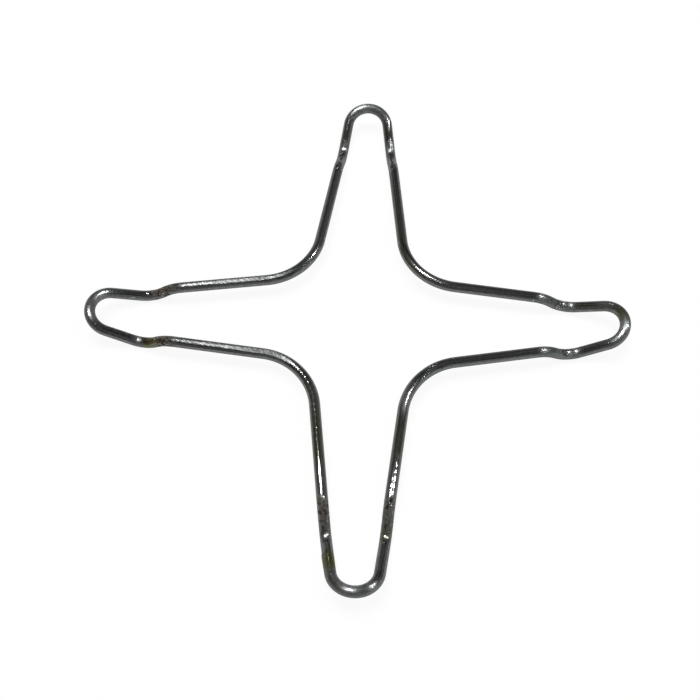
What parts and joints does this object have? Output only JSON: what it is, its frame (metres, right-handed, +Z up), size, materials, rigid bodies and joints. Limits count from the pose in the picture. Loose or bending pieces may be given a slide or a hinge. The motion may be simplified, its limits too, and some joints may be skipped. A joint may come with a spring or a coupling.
{
  "type": "burner pan support",
  "caption": "Flat four-armed cross bent from one closed round wire, each arm stepped down to a notch and ending in a raised loop; it narrows a gas burner's grate for a small pan.",
  "frame": {"origin": "under the middle of the outer box, on the plane that the eight notch feet rest on", "axes": "+Z up; arms run along +X, +Y, -X and -Y, within about one degree"},
  "size_m": [0.1522, 0.154, 0.0082],
  "materials": {
    "wire": "bright chrome plate on drawn steel wire"
  },
  "bodies": {
    "root": {"cross_wire": "wire"}
  },
  "joints": []
}
